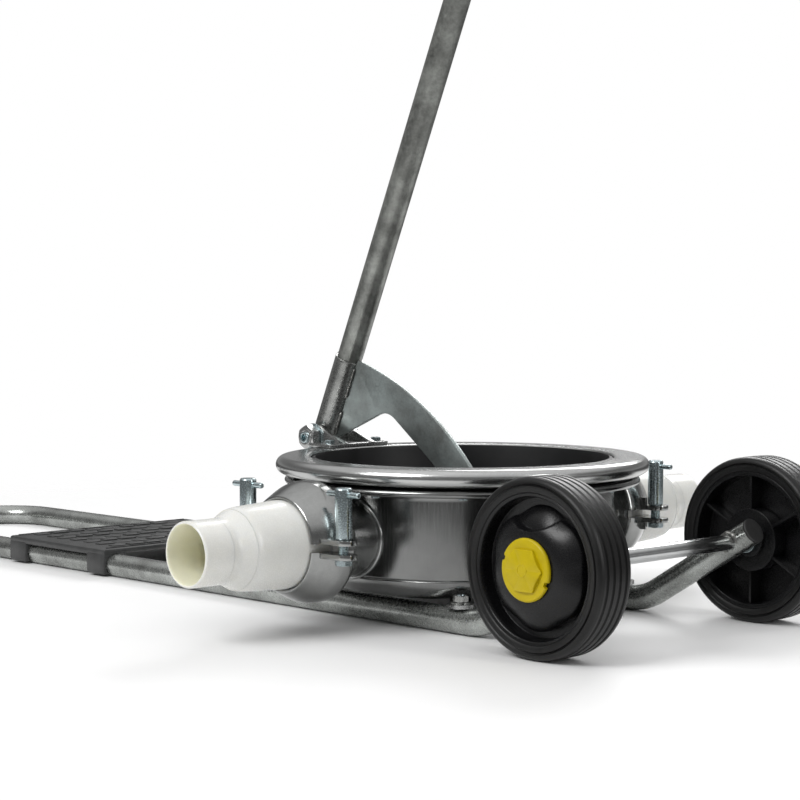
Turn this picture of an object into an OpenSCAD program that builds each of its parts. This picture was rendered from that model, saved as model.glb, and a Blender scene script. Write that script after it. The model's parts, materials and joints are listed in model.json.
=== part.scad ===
// Hand-lever diaphragm pump on a wheeled tubular trolley.
// Millimetres, +Z up. The wheels are at +X, the foot pad is at -X, and the
// two ports point along -Y (inlet) and +Y (outlet).
// The origin is on the ground, at the middle of the whole object's box.

/* [Drum] */
// Outside radius of the drum wall
drum_r = 152; // [145:1:156]
// Thickness of the drum sheet
sheet = 2; // [1.5:0.5:2.5]
// Height of the drum's underside above the ground
drum_z = 28.5; // [28:0.5:32]
// Radius of the drum's rounded bottom corner
corner_r = 18; // [10:1:24]
// Height of the drum flange's underside
flange_z = 129; // [126:1:132]
// Radius to the middle of the flange's rolled lip
lip_r = 175.5; // [174:0.5:178]

/* [Rim ring] */
// Radius of the open mouth
mouth_r = 152; // [150:1:154]
// Height of the top of the rim ring
rim_top = 155; // [153:1:157]
// Radius to the middle of the outer bead
bead_at = 178.5; // [177:0.5:180]
// Radius of the outer bead
bead_r = 8.5; // [8:0.5:9]

/* [Ports] */
// Height of the port axis
port_z = 84.5; // [82:0.5:88]
// Outside radius of the neck
neck_r = 37.5; // [36:0.5:38]
// Distance of the tail mouths from the drum axis
mouth_y = 350; // [340:1:360]
// Outside radius of the hose spigot
spigot_r = 30.25; // [29:0.25:31]
// Wall of the hose tail
tail_wall = 3; // [2.5:0.5:3.5]
// Largest radius of the clamp
clamp_r = 57.5; // [55:0.5:60]
// Distance of the clamp's T nuts from the port axis
stud_x = 68; // [66:1:72]
// Distance of the T nuts from the drum axis
stud_y = 222; // [218:1:226]

/* [Trolley] */
// Outside radius of the frame tube
tube_r = 12.5; // [12:0.5:13]
// Wall of the frame tube
tube_wall = 2; // [1.5:0.5:2.5]
// Distance of the rails from the middle
rail_y = 115; // [112:1:118]
// Distance from the drum axis to the far end of the U bend
bend_reach = 980; // [900:10:1000]
// Radius of the U bend's two corners
corner_bend = 70; // [60:5:90]
// Distance from the drum axis to the axle
axle_reach = 255; // [250:1:262]
// Angle at which the rails rise to the axle
rise = 31; // [30:0.5:33]
// Radius of the bend at the foot of the rise
rise_bend = 70; // [60:5:90]
// Length of rail past the axle
rail_past = 22; // [18:1:26]

/* [Wheels] */
// Radius of the wheel
wheel_r = 80; // [80:1:80]
// Width of the tyre
wheel_w = 42; // [40:1:44]
// Distance of the wheel's middle from the trolley's middle
wheel_y = 153; // [152:1:156]
// Radius of the axle
axle_r = 7.5; // [6.5:0.5:8]

/* [Foot pad] */
// Distance from the drum axis to the near edge of the pad
pad_near = 432; // [420:1:440]
// Length of the pad along the rails
pad_l = 190; // [170:5:200]
// Height of the top of the pad
pad_top = 31; // [30:0.5:33]

/* [Lever] */
// Distance from the drum axis to the lever's pivot
pivot_reach = 200; // [198:1:203]
// Height of the pivot
pivot_z = 164; // [162:1:167]
// Lean of the pole towards the wheels
lean = 23.9; // [22:0.1:25]
// Distance of the pole's axis behind the pivot, measured level
pole_back = 5; // [4:0.5:6]
// Radius of the pole
pole_r = 13.35; // [13:0.05:13.5]
// Length of the pole above the pivot
pole_l = 1140; // [1000:10:1160]
// Length of the socket above the pivot
socket_l = 92; // [85:1:100]
// Outside radius of the socket
socket_r = 15.2; // [15:0.1:16]
// Thickness of the curved lever arm
arm_t = 5; // [4:0.5:6]
// Radius of the arm's outer edge
arm_edge_r = 345; // [345:1:345]
// Height of the pressure disc's top face
disc_top = 97; // [94:1:100]
// Radius of the pressure disc
disc_r = 70; // [60:1:75]

/* [Hidden] */

$fn = 96;
eps = 0.01;
far = 400;

// The drum axis is this far forward of the middle of the object's box
drum_x = (bend_reach + tube_r - axle_reach - wheel_r) / 2;
inlet = -1;
outlet = 1;
front = 1;
rear = -1;

// Colours
steel = "#8f9392";
zinc = "#a9b4b4";
galvanised = "#7d817c";
black = "#26272a";
rubber = "#2c2d2e";
nylon = "#d6d5cd";
yellow = "#d9bd12";

module at_drum() {
    translate([drum_x, 0, 0]) children();
}

// Local Z runs out along the port, local Y is up and local X is forward
module at_port(side) {
    at_drum()
        mirror([0, side > 0 ? 1 : 0, 0])
        translate([0, 0, port_z])
        rotate([90, 0, 0])
        children();
}

module ring(r_out, r_in, h) {
    difference() {
        cylinder(r = r_out, h = h);
        translate([0, 0, -1]) cylinder(r = r_in, h = h + 2);
    }
}

// The stretch of a torus in the plane Z = 0 from angle 0 to angle a
module bend(r, section, a) {
    reach = 2 * r;
    intersection() {
        rotate_extrude() translate([r, 0]) circle(r = section);
        linear_extrude(4 * section, center = true) polygon([
            [0, 0], [reach, 0], 1.5 * reach * [cos(a / 2), sin(a / 2)], reach * [cos(a), sin(a)]]);
    }
}

/* ---- Trolley ---- */

tube_z = tube_r;
rise_tan = rise_bend * tan(rise / 2);
rise_run = (wheel_r - tube_z) / tan(rise);
knee_x = axle_reach - rise_run;
slope_l = (wheel_r - tube_z) / sin(rise) - rise_tan + rail_past;
straight_end = round(10 * (knee_x - rise_tan)) / 10;
bend_x = corner_bend - bend_reach;

// The rising stretch is a hair slimmer and starts inside the bend below it
seam_l = 0.5;
seam_step = 0.05;

// One side of the frame from the U bend's corner to the rail's end, as a round bar
module rail(side, r, extra) {
    translate([bend_x, side * rail_y, tube_z])
        rotate([0, 90, 0])
        cylinder(r = r, h = straight_end - bend_x);
    translate([straight_end, side * rail_y, tube_z + rise_bend])
        rotate([90, 0, 0])
        rotate([0, 0, -90])
        bend(rise_bend, r, rise);
    translate([straight_end, side * rail_y, tube_z + rise_bend])
        rotate([0, -rise, 0])
        translate([-seam_l, 0, -rise_bend])
        rotate([0, 90, 0])
        cylinder(r = r - seam_step, h = slope_l + seam_l + extra);
    translate([bend_x, side * (rail_y - corner_bend), tube_z])
        rotate([0, 0, side > 0 ? 90 : 180])
        bend(corner_bend, r, 90);
}

module whole_frame(r, extra) {
    rail(1, r, extra);
    rail(-1, r, extra);
    translate([-bend_reach, corner_bend - rail_y, tube_z])
        rotate([-90, 0, 0])
        cylinder(r = r, h = 2 * (rail_y - corner_bend));
}

module frame_tube() {
    color(galvanised) at_drum() difference() {
        whole_frame(tube_r, 0);
        whole_frame(tube_r - tube_wall, 1);
        translate([axle_reach, 0, wheel_r])
            rotate([90, 0, 0])
            cylinder(r = axle_r, h = far, center = true);
        for (x = [-lug_at, lug_at], y = [-rail_y, rail_y])
            translate([x, y, tube_r]) cylinder(r = lug_bolt_r, h = 2 * tube_r);
    }
}

module rail_end() {
    translate([straight_end, 0, tube_z + rise_bend])
        rotate([0, -rise, 0])
        translate([slope_l, 0, -rise_bend])
        rotate([0, 90, 0])
        children();
}

plug_in = 8;
plug_head = 2.5;

module rail_plugs() {
    color(black) at_drum() for (y = [-rail_y, rail_y]) translate([0, y, 0]) rail_end() {
        translate([0, 0, -plug_in]) cylinder(r = tube_r - tube_wall - 0.1, h = plug_in + eps);
        cylinder(r = tube_r, h = plug_head);
    }
}

wheel_in = wheel_y - wheel_w / 2;
wheel_out = wheel_y + wheel_w / 2;
clip_t = 1.5;
axle_end = wheel_out - 8;
hub_out = axle_end - 6;
hub_in = wheel_in + 1;

module axle() {
    color(steel) at_drum()
        translate([axle_reach, 0, wheel_r])
        rotate([90, 0, 0])
        cylinder(r = axle_r, h = 2 * axle_end, center = true);
}

module on_axle(side) {
    at_drum()
        mirror([0, side > 0 ? 1 : 0, 0])
        translate([axle_reach, 0, wheel_r])
        rotate([90, 0, 0])
        children();
}

module axle_spacers() {
    color(zinc) for (side = [-1, 1]) on_axle(side)
        translate([0, 0, rail_y + tube_r + 0.3])
        ring(12, axle_r, hub_in - rail_y - tube_r - 0.7);
}

module axle_clips() {
    color(zinc) for (side = [-1, 1]) on_axle(side)
        translate([0, 0, hub_out + 0.4]) ring(12, axle_r, clip_t);
}

/* ---- Wheels ---- */

bore_gap = 0.08;
boss_r = 16;
inner_boss_r = 30;
shell_r = 62;
dish_z = wheel_in + 22;
web_t = 4;
cover_r = 54;
cap_r = 28;
cap_seat = wheel_out + 4;
cap_t = 4;
rib_count = 6;
rib_t = 2.5;
tyre_in_r = 66;

// The hub's shell: rim band, web, boss, inner ribs and domed outer cover
module hub_shell() {
    difference() {
        union() {
            translate([0, 0, wheel_in + 2]) ring(tyre_in_r, shell_r, wheel_w - 4);
            translate([0, 0, dish_z]) cylinder(r = shell_r + eps, h = web_t);
            translate([0, 0, hub_in]) cylinder(r = boss_r, h = hub_out - hub_in);
            translate([0, 0, wheel_in + 4]) cylinder(r = inner_boss_r, h = dish_z - wheel_in - 4 + eps);
            for (k = [0 : rib_count - 1]) rotate([0, 0, 90 + k * 360 / rib_count])
                translate([boss_r - 1, -rib_t / 2, wheel_in + 5])
                cube([shell_r - boss_r + 2, rib_t, dish_z - wheel_in - 5 + eps]);
            rotate_extrude() cover_section();
        }
        translate([0, 0, -1]) cylinder(r = axle_r + bore_gap, h = 2 * wheel_out);
    }
}

// Half section of the domed cover that stands in the outer dish
module cover_section() {
    polygon([
        [cover_r, dish_z + web_t - eps], [cover_r, wheel_out - 10],
        [cover_r - 5, wheel_out - 4], [cap_r + 8, wheel_out + 3],
        [cap_r, cap_seat], [cap_r - 4, cap_seat], [cap_r - 4, wheel_out - 1],
        [cover_r - 8, wheel_out - 7], [cover_r - 3, wheel_out - 12],
        [cover_r - 3, dish_z + web_t - eps]]);
}

module wheel_hub(side) {
    color(black) on_axle(side) hub_shell();
}

tread_r = 2;
tread_count = 4;

module tyre(side) {
    color(rubber) on_axle(side) rotate_extrude() difference() {
        polygon([
            [tyre_in_r, wheel_in], [wheel_r - 5, wheel_in], [wheel_r - 1, wheel_in + 4],
            [wheel_r, wheel_in + 9], [wheel_r, wheel_out - 9], [wheel_r - 1, wheel_out - 4],
            [wheel_r - 5, wheel_out], [tyre_in_r, wheel_out]]);
        for (k = [1 : tread_count])
            translate([wheel_r + 0.6, wheel_in + 1 + k * (wheel_w - 2) / (tread_count + 1)])
            circle(r = tread_r, $fn = 24);
    }
}

module hub_cap(side) {
    color(yellow) on_axle(side) difference() {
        union() {
            translate([0, 0, cap_seat]) cylinder(r = cap_r, h = cap_t);
            translate([0, 0, cap_seat + cap_t - eps]) cylinder(r = 21, h = 4, $fn = 6);
            translate([0, 0, wheel_out - 3]) ring(cap_r - 4.2, cap_r - 6.5, 7 + eps);
        }
        translate([0, 0, cap_seat + cap_t + 2]) ring(6, 4, 3);
        for (a = [30, 210]) rotate([0, 0, a])
            translate([cap_r - 2, -2, cap_seat - 1]) cube([4, 4, cap_t + 2]);
    }
}

/* ---- Foot pad ---- */

pad_half = rail_y + tube_r + 4;
pad_gap = 0.3;
skirt_z = 21;
clip_l = 34;
clip_z = 2;
tread_h = 2;

module foot_pad() {
    color(rubber) at_drum() translate([-pad_near - pad_l, 0, 0]) difference() {
        union() {
            translate([0, -pad_half, skirt_z]) cube([pad_l, 2 * pad_half, pad_top - skirt_z]);
            for (x = [0, pad_l - clip_l], y = [-1, 1])
                translate([x, y > 0 ? rail_y - tube_r - 4 : -pad_half, clip_z])
                cube([clip_l, 2 * tube_r + 8, pad_top - clip_z - 1]);
            for (k = [0 : 6])
                translate([14 + k * 25, -pad_half + 22, pad_top - eps])
                cube([12, 2 * pad_half - 44, tread_h]);
        }
        for (y = [-rail_y, rail_y]) {
            translate([-1, y, tube_z]) rotate([0, 90, 0])
                cylinder(r = tube_r + pad_gap, h = pad_l + 2);
            translate([-1, y - tube_r + 3, clip_z - 1])
                cube([pad_l + 2, 2 * tube_r - 6, tube_r - 6]);
        }
        translate([-1, -rail_y + tube_r, skirt_z - 1])
            cube([pad_l + 2, 2 * (rail_y - tube_r), 5.5]);
    }
}

/* ---- Drum ---- */

lug_at = 112;
lug_bolt_r = 4;
lug_t = drum_z - 2 * tube_r;
lug_r = 13;
strap_r = 10;
lug_bolt_z = 8;
lug_bolt_past = 9;
lug_l = 45;
port_hole_y = 130;

// Rounded-bottom outline of the drum, as a half section
module bowl_outline(r, z0, z1, c) {
    translate([0, z0]) square([r - c, c + eps]);
    translate([r - c, z0 + c]) circle(r = c);
    translate([0, z0 + c]) square([r, z1 - z0 - c]);
}

module drum() {
    color(steel) at_drum() difference() {
        rotate_extrude() {
            difference() {
                bowl_outline(drum_r, drum_z, flange_z + sheet, corner_r);
                translate([-eps, 0]) bowl_outline(
                    drum_r - sheet + eps, drum_z + sheet, flange_z + sheet + 1, corner_r - sheet);
                translate([-far, 0]) square([far, far]);
            }
            translate([drum_r - sheet, flange_z]) square([lip_r - drum_r + sheet, sheet]);
            translate([lip_r, flange_z + 3.2]) difference() {
                circle(r = 3.2);
                translate([-2 * 3.2, 0]) square([2 * 3.2, 2 * 3.2]);
            }
        }
        for (side = [-1, 1])
            translate([0, side * port_hole_y, port_z]) rotate([-side * 90, 0, 0])
            cylinder(r = neck_r, h = far);
        for (k = [0 : screw_count - 1]) rotate([0, 0, (k + 0.5) * 360 / screw_count])
            translate([screw_at, 0, flange_z - 1]) cylinder(r = screw_r, h = 9);
    }
}

module drum_lugs() {
    color(steel) at_drum() for (x = [-1, 1], y = [-1, 1]) difference() {
        union() {
            translate([x * lug_at, y * rail_y, 2 * tube_r]) cylinder(r = lug_r, h = lug_t);
            translate([x * lug_at, y * rail_y, 2 * tube_r]) rotate([0, 0, atan2(y, x)])
                translate([-lug_l, -strap_r, 0]) cube([lug_l, 2 * strap_r, lug_t]);
        }
        translate([x * lug_at, y * rail_y, 0]) cylinder(r = lug_bolt_r, h = far);
    }
}

module lug_bolts() {
    color(zinc) at_drum() for (x = [-lug_at, lug_at], y = [-rail_y, rail_y]) translate([x, y, 0]) {
        translate([0, 0, lug_bolt_z])
            cylinder(r = lug_bolt_r, h = drum_z + lug_bolt_past - lug_bolt_z);
    }
}

module lug_nuts() {
    color(zinc) at_drum() for (x = [-lug_at, lug_at], y = [-rail_y, rail_y])
        translate([x, y, 2 * tube_r + lug_t]) difference() {
            union() {
                cylinder(r = 9, h = 1.5);
                translate([0, 0, 1.5 - eps]) cylinder(r = 7.5, h = 6.5, $fn = 6);
            }
            translate([0, 0, -1]) cylinder(r = lug_bolt_r, h = 12);
        }
}

/* ---- Rim ring and diaphragm ---- */

screw_count = 12;
screw_at = 164;
screw_r = 2.5;
rubber_t = 4;
seat_z = flange_z + sheet;
ring_z = seat_z + rubber_t;
ring_t = 3;
bead_z = rim_top - bead_r;

module rim_ring() {
    color(steel) at_drum() difference() {
        rotate_extrude() difference() {
            union() {
                translate([bead_at, bead_z]) circle(r = bead_r);
                translate([mouth_r, rim_top - ring_t]) square([bead_at - mouth_r, ring_t]);
                translate([mouth_r, ring_z]) square([ring_t, rim_top - ring_z - eps]);
                translate([mouth_r, ring_z]) square([screw_at + 6 - mouth_r, ring_t]);
            }
            translate([bead_at, bead_z]) circle(r = bead_r - ring_t);
        }
        for (k = [0 : screw_count - 1]) rotate([0, 0, (k + 0.5) * 360 / screw_count])
            translate([screw_at, 0, ring_z - 1]) cylinder(r = screw_r, h = 5);
    }
}

module rim_screws() {
    color(zinc) at_drum() for (k = [0 : screw_count - 1]) rotate([0, 0, (k + 0.5) * 360 / screw_count])
        translate([screw_at, 0, flange_z]) {
            translate([0, 0, -3.5]) cylinder(r = 4.6, h = 3.5, $fn = 6);
            translate([0, 0, -eps]) cylinder(r = screw_r, h = 12);
            translate([0, 0, ring_z + ring_t - flange_z]) cylinder(r = 4.6, h = 4, $fn = 6);
        }
}

wall_r = mouth_r - 0.5;
floor_t = 4;
floor_z = disc_top - 6 - floor_t;

// A rubber hat: flange under the ring, conical side, flat middle held by the discs
module diaphragm() {
    color(rubber) at_drum() difference() {
        rotate_extrude() polygon([
            [0, floor_z], [disc_r + 4, floor_z], [wall_r - 12.5, seat_z - 15.5],
            [wall_r - 5.5, seat_z - 10.5], [wall_r - 4, seat_z - 6], [wall_r - 4, seat_z],
            [screw_at + 6, seat_z], [screw_at + 6, ring_z], [wall_r, ring_z],
            [wall_r, rim_top - 1], [wall_r - 4, rim_top - 1], [wall_r - 7, seat_z - 4],
            [wall_r - 10, seat_z - 8.5], [wall_r - 15.5, seat_z - 11.5],
            [disc_r + 6, floor_z + floor_t], [0, floor_z + floor_t]]);
        for (k = [0 : screw_count - 1]) rotate([0, 0, (k + 0.5) * 360 / screw_count])
            translate([screw_at, 0, seat_z - 1]) cylinder(r = screw_r, h = rubber_t + 2);
        for (x = [-1, 1], y = [-1, 1])
            translate([x * foot_bolt_x, y * foot_bolt_y, floor_z - 1])
            cylinder(r = disc_bolt_r + 0.3, h = floor_t + 2);
    }
}

/* ---- Lever hinge ---- */

ear_in = 16;
ear_t = 6;
ear_r = 13;
bolt_r = 6;
base_t = 4;
base_x = [-186, -153];
base_y = 42;
leg_x = -188.5;
leg_z = 139;
leg_screw = [-202, 144.5];
leg_screw_r = 2.5;
bracket_screw_x = -163;
bracket_screw_y = 33;

module at_pivot() {
    at_drum() translate([-pivot_reach, 0, pivot_z]) children();
}

// Two ears on a base plate that lies on the rim ring
module hinge_bracket() {
    color(steel) at_drum() difference() {
        union() {
            for (y = [-1, 1]) translate([0, y * (ear_in + ear_t / 2), 0]) {
                translate([-pivot_reach, 0, pivot_z]) rotate([90, 0, 0])
                    cylinder(r = ear_r, h = ear_t, center = true);
                rotate([90, 0, 0]) linear_extrude(ear_t, center = true) polygon([
                    [-pivot_reach - ear_r + 0.5, pivot_z], [-pivot_reach - ear_r + 1.5, leg_z],
                    [leg_x, leg_z], [leg_x, rim_top],
                    [base_x[1], rim_top], [base_x[1], rim_top + base_t],
                    [-pivot_reach + 7, pivot_z + 10.5]]);
            }
            translate([base_x[0], -base_y, rim_top])
                cube([base_x[1] - base_x[0], 2 * base_y, base_t]);
        }
        translate([-pivot_reach, 0, pivot_z]) rotate([90, 0, 0])
            cylinder(r = bolt_r, h = far, center = true);
        translate([leg_screw[0], 0, leg_screw[1]]) rotate([90, 0, 0])
            cylinder(r = leg_screw_r, h = far, center = true);
        for (y = [-bracket_screw_y, bracket_screw_y])
            translate([bracket_screw_x, y, rim_top - 1]) cylinder(r = 3, h = 20);
    }
}

module bracket_screws() {
    color(zinc) at_drum() for (y = [-bracket_screw_y, bracket_screw_y])
        translate([bracket_screw_x, y, rim_top]) {
            cylinder(r = 3, h = base_t + eps);
            translate([0, 0, base_t]) cylinder(r = 5.5, h = 4, $fn = 6);
        }
    color(zinc) at_drum() translate([leg_screw[0], 0, leg_screw[1]]) rotate([90, 0, 0]) {
        cylinder(r = leg_screw_r, h = 2 * (ear_in + ear_t) + 2 * eps, center = true);
        for (z = [-ear_in - ear_t - 3, ear_in + ear_t]) translate([0, 0, z])
            cylinder(r = 4.6, h = 3, $fn = 6);
    }
}

hinge_washer_t = 1.5;
nut_in = ear_in + ear_t + hinge_washer_t;
nut_h = 12;
hex_r = 13.3;

module hinge_bolt() {
    color(zinc) at_pivot() rotate([90, 0, 0]) {
        translate([0, 0, -nut_in]) cylinder(r = bolt_r, h = 2 * nut_in + nut_h + 2);
        translate([0, 0, -nut_in - 8]) cylinder(r = hex_r, h = 8, $fn = 6);
    }
}

module hinge_nut() {
    color(zinc) at_pivot() rotate([90, 0, 0]) translate([0, 0, nut_in]) difference() {
        cylinder(r = hex_r, h = nut_h, $fn = 6);
        translate([0, 0, -1]) cylinder(r = bolt_r, h = nut_h + 2);
    }
}

module hinge_washers() {
    color(zinc) at_pivot() rotate([90, 0, 0])
        for (z = [-nut_in, nut_in - hinge_washer_t])
        translate([0, 0, z]) ring(14.5, bolt_r, hinge_washer_t);
}

/* ---- Lever ---- */

sleeve_r = 10.5;
sleeve_w = 15.7;
pole_stop = 6;

// Local Z runs up the pole, from the level of the pivot
module at_pole() {
    at_pivot() translate([-pole_back, 0, 0]) rotate([0, lean, 0]) children();
}

module hinge_sleeve() {
    color(steel) at_pivot() rotate([90, 0, 0]) difference() {
        cylinder(r = sleeve_r, h = 2 * sleeve_w, center = true);
        cylinder(r = bolt_r + bore_gap, h = 100, center = true);
    }
}

module lever_socket() {
    color(steel) difference() {
        at_pole() difference() {
            translate([0, 0, -3]) cylinder(r = socket_r, h = socket_l + 3);
            translate([0, 0, pole_stop + 8]) cylinder(r = pole_r + bore_gap, h = socket_l);
        }
        at_pivot() rotate([90, 0, 0]) cylinder(r = sleeve_r, h = 100, center = true);
    }
}

// Centre of the arm's outer edge, in the X-Z plane from the drum axis
arm_c = [-244, -87];
foot_t = 5;
foot_x = [-38, 56];

// Side outline of the curved arm, in the X-Z plane from the drum axis
module arm_outline() {
    intersection() {
        translate(arm_c) circle(r = arm_edge_r, $fn = 360);
        difference() {
            polygon([
                [-190, 168], [-179, 168], [-118, 191.4], [-97, 187], [-34, 140],
                [-24, 122], [-22, disc_top + foot_t], [60, disc_top + foot_t],
                [60, 300], [-148, 300]]);
            translate([-109, 180]) circle(r = 12.5);
        }
    }
}

module lever_arm() {
    color(zinc) difference() {
        at_drum() rotate([90, 0, 0]) linear_extrude(arm_t, center = true) arm_outline();
        at_pole() translate([0, 0, -far]) cylinder(r = socket_r, h = 2 * far);
        at_pivot() rotate([90, 0, 0]) cylinder(r = sleeve_r, h = 100, center = true);
    }
}

foot_bolt_x = 27;
foot_bolt_y = 14;
disc_bolt_r = 4;

module arm_foot() {
    color(zinc) at_drum() difference() {
        translate([foot_x[0], -22, disc_top]) cube([foot_x[1] - foot_x[0], 44, foot_t]);
        foot_holes();
    }
}

module foot_holes() {
    for (x = [-1, 1], y = [-1, 1])
        translate([x * foot_bolt_x, y * foot_bolt_y, 0]) cylinder(r = disc_bolt_r, h = far);
}

module pressure_disc() {
    color(steel) at_drum() difference() {
        translate([0, 0, floor_z + floor_t]) cylinder(r = disc_r, h = disc_top - floor_z - floor_t);
        foot_holes();
    }
}

module backing_disc() {
    color(steel) at_drum() difference() {
        translate([0, 0, floor_z - 5]) cylinder(r = disc_r, h = 5);
        foot_holes();
    }
}

module disc_bolts() {
    color(zinc) at_drum() for (x = [-1, 1], y = [-1, 1])
        translate([x * foot_bolt_x, y * foot_bolt_y, floor_z - 5]) {
            translate([0, 0, -5]) cylinder(r = 7.5, h = 5, $fn = 6);
            translate([0, 0, -eps]) cylinder(r = disc_bolt_r, h = disc_top + foot_t - floor_z + 5 + 9);
            translate([0, 0, disc_top + foot_t - floor_z + 5]) cylinder(r = 7.5, h = 6.5, $fn = 6);
        }
}

pole_wall = 2;

module pole() {
    color(galvanised) at_pole() translate([0, 0, pole_stop + 8.3])
        ring(pole_r, pole_r - pole_wall, pole_l - pole_stop - 8.3);
}

module pole_cap() {
    color(black) at_pole() {
        translate([0, 0, pole_l - 12]) cylinder(r = pole_r - pole_wall, h = 12 + eps);
        translate([0, 0, pole_l]) cylinder(r = pole_r, h = 3);
    }
}

/* ---- Ports ---- */

neck_wall = 2;
neck_end = 202;
seal_t = 2;
seat_t = 6;
flange_r = 46;
neck_flange_t = 4;
seat_at = neck_end + seal_t;
tail_at = seat_at + seat_t;
tail_flange_t = 5;
collar_r = 40.5;
collar_y = 157;
seat_hole_r = 25;
clamp_back = 194;
clamp_front = 240;

module neck(side) {
    color(steel) at_port(side) difference() {
        union() {
            difference() {
                translate([0, 0, port_hole_y]) cylinder(r = neck_r, h = neck_end - port_hole_y);
                rotate([90, 0, 0]) cylinder(r = drum_r - sheet, h = far, center = true);
            }
            difference() {
                translate([0, 0, port_hole_y]) cylinder(r = collar_r, h = collar_y - port_hole_y);
                rotate([90, 0, 0]) cylinder(r = drum_r, h = far, center = true);
            }
            translate([0, 0, neck_end - neck_flange_t]) cylinder(r = flange_r, h = neck_flange_t);
        }
        translate([0, 0, port_hole_y - 1]) cylinder(r = neck_r - neck_wall, h = far);
    }
}

module seal(side) {
    color(rubber) at_port(side) translate([0, 0, neck_end]) ring(flange_r, neck_r - neck_wall, seal_t);
}

pin_y = 29.5;
pin_r = 2;
flap_t = 3;
flap_r = 28;
flap_gap = 0.3;
knuckle_r = 3.6;
lug_gap = 0.5;
weight_t = 3;
ear_y = 26.2;
ear_h = 6.3;
flap_cut_y = 24.5;
neck_w = 17;

// Distance out along the port to the flap's middle plane
function flap_at(side) = side == inlet ? seat_at - flap_gap - flap_t / 2 : tail_at + flap_gap + flap_t / 2;

module valve_seat(side) {
    color(nylon) at_port(side) difference() {
        union() {
            translate([0, 0, seat_at]) cylinder(r = flange_r, h = seat_t);
            for (x = [-1, 1])
                translate([x > 0 ? 9 : -13, 0, side == inlet ? flap_at(side) - 2.8 : tail_at - eps])
                translate([0, ear_y, 0])
                cube([4, ear_h, side == inlet ? seat_at - flap_at(side) + 2.8 + eps
                    : flap_at(side) - tail_at + 2.8]);
        }
        translate([0, 0, seat_at - 1]) cylinder(r = seat_hole_r, h = seat_t + 2);
        translate([0, pin_y, flap_at(side)]) rotate([0, 90, 0]) {
            cylinder(r = pin_r, h = 60, center = true);
            cylinder(r = knuckle_r + lug_gap, h = neck_w + 2 * lug_gap, center = true);
        }
    }
}

module flap_pins() {
    color(zinc) for (side = [inlet, outlet]) at_port(side)
        translate([0, pin_y, flap_at(side)]) rotate([0, 90, 0])
        cylinder(r = pin_r, h = 26, center = true);
}

module flap(side) {
    color(rubber) at_port(side) translate([0, 0, flap_at(side)]) difference() {
        union() {
            intersection() {
                translate([0, 0, -flap_t / 2]) cylinder(r = flap_r, h = flap_t);
                translate([-far / 2, flap_cut_y - far, -far / 2]) cube(far);
            }
            translate([-neck_w / 2, 20, -flap_t / 2]) cube([neck_w, pin_y - 20, flap_t]);
            translate([0, pin_y, 0]) rotate([0, 90, 0])
                cylinder(r = knuckle_r, h = neck_w, center = true);
        }
        translate([0, pin_y, 0]) rotate([0, 90, 0])
            cylinder(r = pin_r + bore_gap, h = 40, center = true);
    }
}

module flap_weight(side) {
    color(steel) at_port(side)
        translate([0, 0, flap_at(side) + (side == inlet ? -flap_t / 2 - weight_t : flap_t / 2)])
        cylinder(r = 18, h = weight_t);
}

step_y = 311;
shoulder_y = 294;

module hose_tail(side) {
    color(nylon) at_port(side) rotate_extrude() polygon([
        [flange_r, tail_at], [flange_r, tail_at + tail_flange_t],
        [41, tail_at + tail_flange_t], [41.5, clamp_front + 2], [38.4, shoulder_y],
        [spigot_r, step_y], [spigot_r, mouth_y - 1], [spigot_r - 1, mouth_y],
        [spigot_r - tail_wall, mouth_y], [spigot_r - tail_wall, step_y - 1],
        [38.4 - tail_wall, shoulder_y - 1], [41.5 - tail_wall, clamp_front + 2],
        [41 - tail_wall, tail_at]]);
}

split = 4;
lug_w = 20;
lug_out = 82;
clamp_lug_t = 5;

module clamp_solid() {
    rotate_extrude() polygon([
        [neck_r + 0.3, clamp_back], [clamp_r - 3, clamp_back], [clamp_r, clamp_back + 3],
        [clamp_r, clamp_front - 24], [clamp_r - 2, clamp_front - 18],
        [45, clamp_front], [42, clamp_front], [42, tail_at + tail_flange_t],
        [flange_r + 0.3, tail_at + tail_flange_t], [flange_r + 0.3, neck_end - neck_flange_t],
        [neck_r + 0.3, neck_end - neck_flange_t]]);
}

// Local +Y is the upper half, -Y the lower one
module clamp_half(side, half) {
    color(steel) at_port(side) difference() {
        union() {
            intersection() {
                clamp_solid();
                translate([-far / 2, half > 0 ? split : -far / 2 - split, 0])
                    cube([far, far / 2, far]);
            }
            for (x = [-1, 1])
                translate([x > 0 ? clamp_r - 4 : -lug_out, half > 0 ? split : -split - clamp_lug_t,
                    stud_y - lug_w / 2])
                cube([lug_out - clamp_r + 4, clamp_lug_t, lug_w]);
        }
        for (x = [-stud_x, stud_x]) translate([x, 0, stud_y]) rotate([90, 0, 0])
            cylinder(r = stud_r, h = 60, center = true);
    }
}

stud_r = 5;
nut_low = split + clamp_lug_t + 0.3;
t_nut_h = 47;
t_nut_r = 8;
bar_r = 2.75;
bar_l = 42;
stud_up = 30;

// Local Z runs up the stud, from the port axis
module at_stud(side, x) {
    at_port(side) translate([x * stud_x, 0, stud_y]) rotate([-90, 0, 0]) children();
}

module clamp_studs() {
    color(zinc) for (side = [inlet, outlet], x = [front, rear]) at_stud(side, x) {
        translate([0, 0, -split - clamp_lug_t - 6]) cylinder(r = 8.5, h = 6, $fn = 6);
        translate([0, 0, -split - clamp_lug_t - eps])
            cylinder(r = stud_r, h = split + clamp_lug_t + stud_up);
    }
}

module t_nut(side, x) {
    color(zinc) at_stud(side, x) difference() {
        translate([0, 0, nut_low]) cylinder(r = t_nut_r, h = t_nut_h);
        translate([0, 0, nut_low - 1]) cylinder(r = stud_r + bore_gap, h = stud_up - nut_low + 3);
        translate([0, 0, nut_low + t_nut_h - 6]) rotate([0, 90, 0])
            cylinder(r = bar_r, h = 40, center = true);
    }
}

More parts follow.
